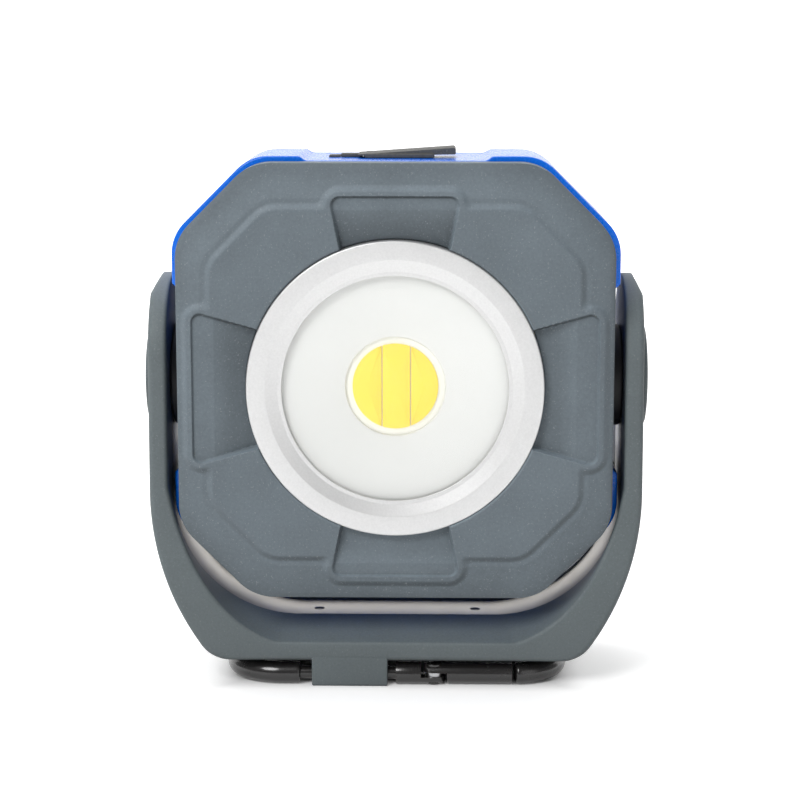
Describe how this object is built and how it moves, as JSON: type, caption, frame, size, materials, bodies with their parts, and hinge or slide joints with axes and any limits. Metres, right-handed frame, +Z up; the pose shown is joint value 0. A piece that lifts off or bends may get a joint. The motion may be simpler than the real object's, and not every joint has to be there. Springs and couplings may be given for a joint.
{
  "type": "work light",
  "caption": "Compact rechargeable work light: a round lamp in a rounded octagonal head that tilts in a U-shaped stand, with a folding carabiner under the base.",
  "frame": {"origin": "middle of the stand's footprint, on the surface that the light rests on", "axes": "+Z up; the lamp shines toward -Y; +X to the right in a view along +Y, facing the lamp"},
  "size_m": [0.1142, 0.046, 0.1218],
  "materials": {
    "bumper_rubber": "satin moulded rubber",
    "black_plastic": "matt",
    "blue_plastic": "glossy",
    "seal_rubber": "soft matt",
    "screw_steel": "plated",
    "satin_aluminium": "satin anodised",
    "clear_lens": "polished clear",
    "white_plastic": "smooth white",
    "white_board": "white solder mask",
    "phosphor": "soft silicone",
    "circuit_board": "solder mask",
    "cell_wrap": "shrink sleeve",
    "flap_rubber": "satin moulded rubber",
    "stand_plastic": "fine grained nylon",
    "strap_steel": "satin plated",
    "magnet_steel": "nickel plated",
    "black_metal": "gloss black"
  },
  "bodies": {
    "stand": {"stand_shell": "stand_plastic", "stand_strap": "strap_steel", "strap_pins": "black_plastic", "pivot_cap_left": "stand_plastic", "pivot_cap_right": "stand_plastic", "base_magnets": "magnet_steel"},
    "head": {"front_bumper": "bumper_rubber", "front_frame": "black_plastic", "housing_shell": "blue_plastic", "rear_cover": "blue_plastic", "housing_seal": "seal_rubber", "housing_screws": "screw_steel", "bezel_ring": "satin_aluminium", "lens": "clear_lens", "lens_gasket": "seal_rubber", "reflector": "white_plastic", "led_board": "white_board", "led_phosphor": "phosphor", "heat_sink": "satin_aluminium", "driver_board": "circuit_board", "button_switch": "black_plastic", "usb_socket": "screw_steel", "battery_cells": "cell_wrap", "battery_holder": "black_plastic", "control_plate": "stand_plastic", "indicator_lenses": "white_plastic", "flap_anchor": "flap_rubber", "hub_left": "black_plastic", "hub_right": "black_plastic", "pivot_screws": "screw_steel", "pivot_washers": "screw_steel", "pivot_nuts": "screw_steel"},
    "flap": {"port_flap": "flap_rubber"},
    "button": {"power_button": "seal_rubber"},
    "carabiner": {"carabiner_frame": "black_metal", "carabiner_knuckle": "black_metal", "carabiner_pin": "black_metal", "gate_rivet": "black_metal", "gate_spring": "screw_steel"},
    "gate": {"carabiner_gate": "black_metal"}
  },
  "joints": [
    {"name": "head_tilt", "type": "hinge", "parent": "stand", "child": "head", "pos_m": [0, 0, 0.0693], "axis": [1, 0, 0], "range_deg": [-115, 115]},
    {"name": "flap_open", "type": "hinge", "parent": "head", "child": "flap", "pos_m": [-0.0124, 0.0006, 0.11985], "axis": [0, -1, 0], "range_deg": [0, 100]},
    {"name": "button_press", "type": "slide", "parent": "head", "child": "button", "axis": [0, -1, 0], "range_m": [0, 0.0008], "stiffness_N_per_m": 1500, "springref_m": -0.0002},
    {"name": "carabiner_fold", "type": "hinge", "parent": "stand", "child": "carabiner", "pos_m": [0, -0.0171, 0.0025], "axis": [-1, 0, 0], "range_deg": [0, 180]},
    {"name": "gate_open", "type": "hinge", "parent": "carabiner", "child": "gate", "pos_m": [0.0088, -0.0171, 0.0025], "axis": [0, 0, 1], "range_deg": [0, 25], "stiffness_Nm_per_rad": 0.05, "springref_deg": -11.46}
  ]
}
